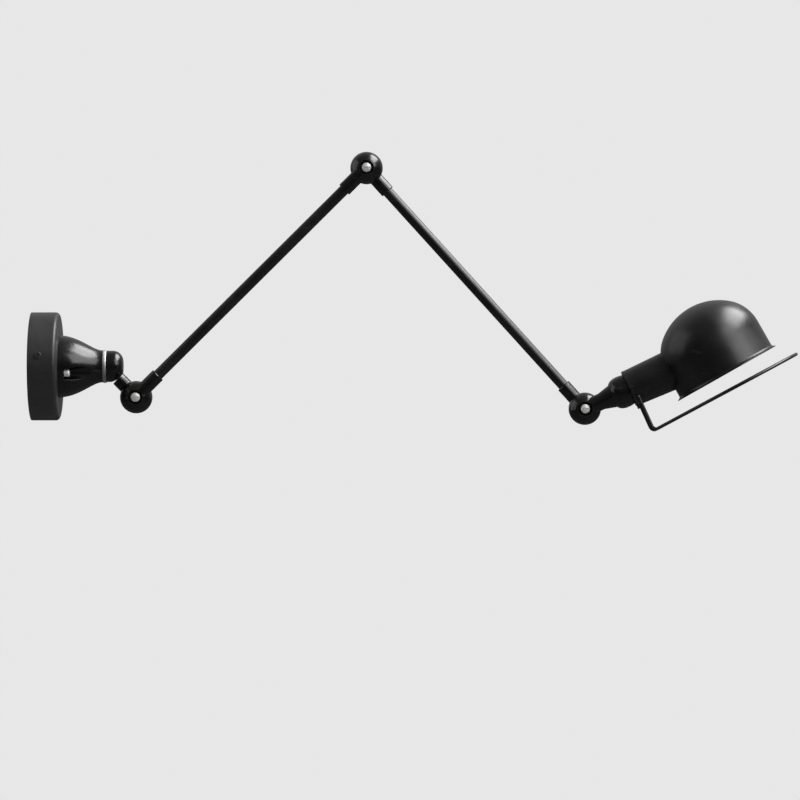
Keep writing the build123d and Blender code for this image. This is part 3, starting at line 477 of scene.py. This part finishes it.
threadTree = treeOf("threadTree", ("Radius", "Rib", "Turns", "Length"), threadRib)
alongX = Matrix.Rotation(math.radians(90), 4, "Y")
stubFrame = Matrix.Rotation(math.radians(stub["slope"]), 4, "Y")
stubFrame = Matrix.Translation((stub["reach"], 0, 0)) @ stubFrame
threadFrames = {"stubThread": stubFrame, "holderThread": headFrame}

for name, thread in threads.items():
    values = {**thread["sizes"], "Finish": finishes[thread["finish"]]}
    mesh = grownMesh(name, threadTree, values, [(0, 0, 0), (0, 0, thread["sizes"]["Length"])])
    mesh.transform(threadFrames[name] @ Matrix.Translation((thread["from"], 0, 0)) @ alongX)
    settle(name, mesh, thread["body"])
print("threads:", len(threads))


# the three cores between the terminal block and the base cable's jacket
cores = {
    "coreBrown": {"terminal": 0.008, "inJacket": 0.0011,
                  "tones": ((0.13, 0.045, 0.020, 1), (0.12, 0.042, 0.019, 1))},
    "coreEarth": {"terminal": 0.0, "inJacket": 0.0,
                  "tones": ((0.05, 0.30, 0.06, 1), (0.72, 0.62, 0.04, 1))},
    "coreBlue": {"terminal": -0.008, "inJacket": -0.0011,
                 "tones": ((0.03, 0.12, 0.45, 1), (0.03, 0.11, 0.42, 1))},
}
plastic = {
    "bands": 130.0,
    "bandEdge": (0.45, 0.55),
    "dirt": {"scale": 400.0, "detail": 4.0},
    "dirtFade": (0.5, 0.8, 0.0, 0.35),
    "dirtTone": (0.05, 0.05, 0.05, 1),
    "gloss": (0.3, 0.7, 0.42, 0.55),
}


def corePlastic(shade, tones):
    wave = {"Vector": shade.place(), "Scale": plastic["bands"]}
    bands = shade.flow("ShaderNodeTexWave", {"bands_direction": "DIAGONAL"}, wave)
    dirt = shade.cloud(**plastic["dirt"])
    colour = shade.blend(bands.ramp(*plastic["bandEdge"]), *tones)
    colour = shade.blend(dirt.ramp(*plastic["dirtFade"]), colour, plastic["dirtTone"])
    return {"Base Color": colour, "Roughness": dirt.ramp(*plastic["gloss"])}


def coreSleeve(wiring, given):
    line = wiring.flow("GeometryNodeMeshToCurve", {}, {"Mesh": given["Geometry"]})
    rounded = {"spline_type": "CATMULL_ROM"}
    curve = wiring.flow("GeometryNodeCurveSplineType", rounded, {"Curve": line})
    steps = {"Curve": curve, "Count": coreRun["steps"]}
    curve = wiring.flow("GeometryNodeResampleCurve", {}, steps)
    return sweep(wiring, curve, coreRun["sides"], given["Radius"])


coreTree = treeOf("coreTree", ("Radius",), coreSleeve)

for name, core in cores.items():
    line = [(x, y, core["terminal"] * spread + core["inJacket"] * gathered)
            for x, y, spread, gathered in coreRun["route"]]
    values = {"Radius": coreRun["radius"], "Finish": finishOf(name, corePlastic, core["tones"])}
    settle(name, grownMesh(name, coreTree, values, line), "wall_base")
print("cores:", len(cores))


# the photograph's view: level along +Y, with the wall and the swivel where the frame has them
photo = {
    "side": 800,
    "metresPerPixel": 0.0009235,
    "wallColumn": 31.0,
    "swivelRow": 366.3,
    "distance": 3.6,
    "sensorWidth": 36.0,
    "clip": (0.1, 60.0),
}


def placeCamera():
    middle = photo["side"] / 2
    x = (middle - photo["wallColumn"]) * photo["metresPerPixel"]
    z = (photo["swivelRow"] - middle) * photo["metresPerPixel"]
    data = bpy.data.cameras.new("photoCamera")
    data.sensor_width = photo["sensorWidth"]
    data.lens = photo["sensorWidth"] * photo["distance"] / (photo["side"] * photo["metresPerPixel"])
    data.clip_start, data.clip_end = photo["clip"]
    camera = bpy.data.objects.new("photoCamera", data)
    camera.location = (x, jointPlace["shoulder"].y - photo["distance"], z)
    camera.rotation_euler = (math.radians(90), 0, 0)
    bpy.context.scene.collection.objects.link(camera)
    bpy.context.scene.camera = camera


softboxes = {
    "overhead": {"place": (2.1, 0.25, 2.55), "aim": (0.35, 0, 0),
                 "size": (2.8, 1.7), "power": 130.0},
    "leftBox": {"place": (-2.8, 0.2, 0.9), "aim": (0.3, 0, 0),
                "size": (3.0, 2.8), "power": 19.0},
    "rightBox": {"place": (2.6, -1.85, 1.8), "aim": (0.4, 0, 0),
                 "size": (2.3, 2.3), "power": 50.0},
}


def hangSoftbox(name, setting):
    data = bpy.data.lights.new(name, "AREA")
    data.shape = "RECTANGLE"
    data.size, data.size_y = setting["size"]
    data.energy = setting["power"]
    lamp = bpy.data.objects.new(name, data)
    place = Vector(setting["place"])
    lamp.location = place
    lamp.rotation_euler = (Vector(setting["aim"]) - place).to_track_quat("-Z", "Y").to_euler()
    bpy.context.scene.collection.objects.link(lamp)


# the room is pale to the camera and darker as a light: its level goes from front to back and
# from low to high, and gloss sees a share of the pale behind and above the lamp
room = {
    "pale": (0.80, 0.80, 0.80, 1),
    "depth": (-0.6, 1.0, 0.26, 0.75),
    "height": (-0.1, 0.8, 0.06, 0.38),
    "mirroredBehind": (0.1, 0.9),
    "mirroredAbove": (-0.25, 0.2, 0.0, 0.32),
    "fill": 0.34,
}


def paintWorld():
    world = bpy.data.worlds.new("studio")
    bpy.context.scene.world = world
    world.use_nodes = True
    shade = Shade(world.node_tree)
    towards = shade.flow("ShaderNodeTexCoord", {}, {}, "Generated")
    depth = shade.flow("ShaderNodeSeparateXYZ", {}, {"Vector": towards}, "Y")
    rise = shade.flow("ShaderNodeSeparateXYZ", {}, {"Vector": towards}, "Z")
    level = depth.ramp(*room["depth"]) * rise.ramp(*room["height"])
    mirrored = depth.ramp(*room["mirroredBehind"]) * rise.ramp(*room["mirroredAbove"])
    seen = shade.seen(mirrored, room["fill"])
    lit = shade.flow("ShaderNodeBackground", {}, {"Color": (1, 1, 1, 1), "Strength": level})
    pale = shade.flow("ShaderNodeBackground", {}, {"Color": room["pale"], "Strength": 1.0})
    mixed = shade.flow("ShaderNodeMixShader", {}, {0: seen, 1: lit, 2: pale})
    shade.node("ShaderNodeOutputWorld", {}, {"Surface": mixed})


# the floor is a round sheet that fades into the room, and isn't there from below
floorSheet = {
    "tone": (0.62, 0.62, 0.62, 1),
    "unseen": (0, 0, 0, 1),
    "mirrored": 0.10,
    "bounce": 0.90,
    "middle": (0.3, 0, -1.0),
    "radius": 6.0,
    "segments": 96,
    "fade": (0.25, 0.95),
}


def layFloor():
    shape = bmesh.new()
    outline = {"segments": floorSheet["segments"], "radius": floorSheet["radius"]}
    bmesh.ops.create_circle(shape, cap_ends=True, **outline)
    mesh = bpy.data.meshes.new("floor")
    shape.to_mesh(mesh)
    shape.free()
    mesh.transform(Matrix.Translation(floorSheet["middle"]))
    floor = bpy.data.objects.new("floor", mesh)
    bpy.context.scene.collection.objects.link(floor)
    material = bpy.data.materials.new("floorPaper")
    material.use_nodes = True
    shade = Shade(material.node_tree)
    far = shade.flow("ShaderNodeVectorMath", {"operation": "LENGTH"}, {0: shade.place()}, "Value")
    below = shade.flow("ShaderNodeNewGeometry", {}, {}, "Backfacing")
    fadeFrom, fadeTo = (floorSheet["radius"] * share for share in floorSheet["fade"])
    gone = (far.ramp(fadeFrom, fadeTo) + below).held()
    seen = shade.seen(floorSheet["mirrored"], floorSheet["bounce"])
    tone = shade.blend(seen, floorSheet["unseen"], floorSheet["tone"])
    paper = shade.flow("ShaderNodeBsdfDiffuse", {}, {"Color": tone})
    clear = shade.flow("ShaderNodeBsdfTransparent", {}, {})
    mixed = shade.flow("ShaderNodeMixShader", {}, {0: gone, 1: paper, 2: clear})
    shade.node("ShaderNodeOutputMaterial", {}, {"Surface": mixed})
    mesh.materials.append(material)


placeCamera()
for name, setting in softboxes.items():
    hangSoftbox(name, setting)
paintWorld()
layFloor()
bpy.context.scene.view_settings.view_transform = "Standard"
print("studio: camera,", len(softboxes), "softboxes, floor")
